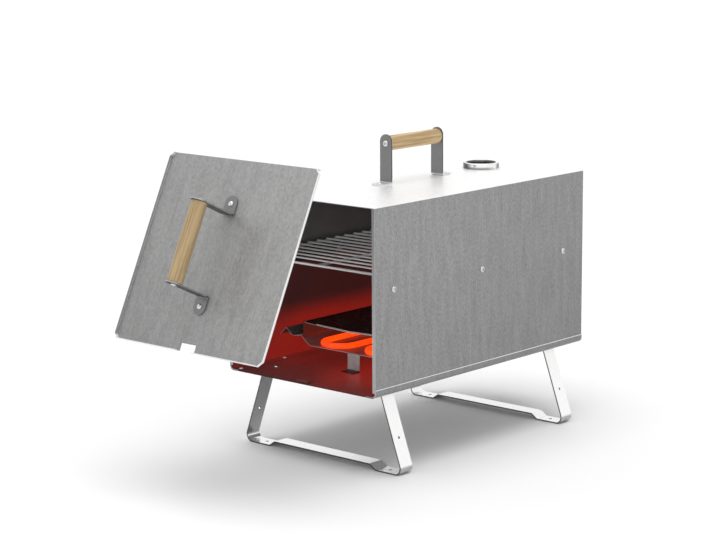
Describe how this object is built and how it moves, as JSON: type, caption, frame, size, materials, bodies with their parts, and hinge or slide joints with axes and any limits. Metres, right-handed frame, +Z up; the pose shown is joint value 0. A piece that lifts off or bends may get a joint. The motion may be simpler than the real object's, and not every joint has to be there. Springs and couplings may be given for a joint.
{
  "type": "electric smoker",
  "caption": "Table-top electric food smoker: riveted sheet box on splayed strip legs, lift-off door with wooden grip, vent collar, wire grate, trays and a tubular heater.",
  "frame": {"origin": "on the floor, in the middle of the four holes in the feet", "axes": "+X across the box, to the right of someone who faces the open front; +Y from the open front to the back; +Z up"},
  "size_m": [0.3004, 0.7791, 0.4549],
  "materials": {
    "shell": "galvanised steel sheet with a fine vertical grain",
    "door_sheet": "stainless steel sheet with a fine grain",
    "strip_steel": "bright bent steel strip",
    "wood": "turned pine, lightly oiled",
    "chrome_ring": "polished rolled steel ring",
    "grate_wire": "bright plated wire",
    "tray_sheet": "steel sheet",
    "drip_black": "black enamel",
    "element_tube": "heated metal tube",
    "fastener": "zinc plated steel",
    "rivet_metal": "aluminium rivet",
    "black_plastic": "black moulded plastic",
    "red_plastic": "red moulded plastic",
    "blade_brass": "nickel plated brass",
    "inner_sheet": "galvanised steel sheet"
  },
  "bodies": {
    "smoker_body": {"appliance_inlet": "black_plastic", "back_panel": "shell", "back_rivets": "rivet_metal", "body_shell": "shell", "bottom_pan": "inner_sheet", "carry_arm_front": "strip_steel", "carry_arm_rear": "strip_steel", "carry_grip": "wood", "carry_rivets": "rivet_metal", "carry_screws": "fastener", "catch_rivet": "rivet_metal", "cover_screws": "fastener", "door_catch": "inner_sheet", "element_pins": "blade_brass", "element_plate": "inner_sheet", "element_plate_screws": "fastener", "front_leg": "strip_steel", "grate_rail_left": "inner_sheet", "grate_rail_right": "inner_sheet", "heating_element": "element_tube", "inlet_blades": "blade_brass", "inlet_screws": "fastener", "leg_nuts": "fastener", "leg_screws": "fastener", "pan_rivets": "rivet_metal", "rail_nuts": "fastener", "rail_screws": "fastener", "rear_leg": "strip_steel", "terminal_cover": "black_plastic", "thermal_cutout": "black_plastic", "vent_collar": "chrome_ring"},
    "door": {"door_panel": "door_sheet", "door_grip": "wood", "door_arm_lower": "strip_steel", "door_arm_upper": "strip_steel", "door_rivets": "rivet_metal", "door_screws": "fastener"},
    "grate": {"cooking_grate": "grate_wire"},
    "chip_drawer": {"chip_tray": "tray_sheet", "tray_bracket_front": "tray_sheet", "tray_bracket_rear": "tray_sheet"},
    "drip_drawer": {"drip_tray": "drip_black"},
    "reset": {"reset_button": "red_plastic"}
  },
  "joints": [
    {"name": "door_lift", "type": "hinge", "parent": "smoker_body", "child": "door", "pos_m": [0, -0.15286, 0.64379], "axis": [-1, 0, 0], "range_deg": [-25.5, 0]},
    {"name": "grate_slide", "type": "slide", "parent": "smoker_body", "child": "grate", "axis": [0, -1, 0], "range_m": [0, 0.19]},
    {"name": "chip_tray_slide", "type": "slide", "parent": "smoker_body", "child": "chip_drawer", "axis": [0, -1, 0], "range_m": [0, 0.07]},
    {"name": "drip_tray_slide", "type": "slide", "parent": "chip_drawer", "child": "drip_drawer", "axis": [0, -1, 0], "range_m": [0, 0.14]},
    {"name": "reset_press", "type": "slide", "parent": "smoker_body", "child": "reset", "axis": [0, -1, 0], "range_m": [0, 0.002], "stiffness_N_per_m": 400}
  ]
}
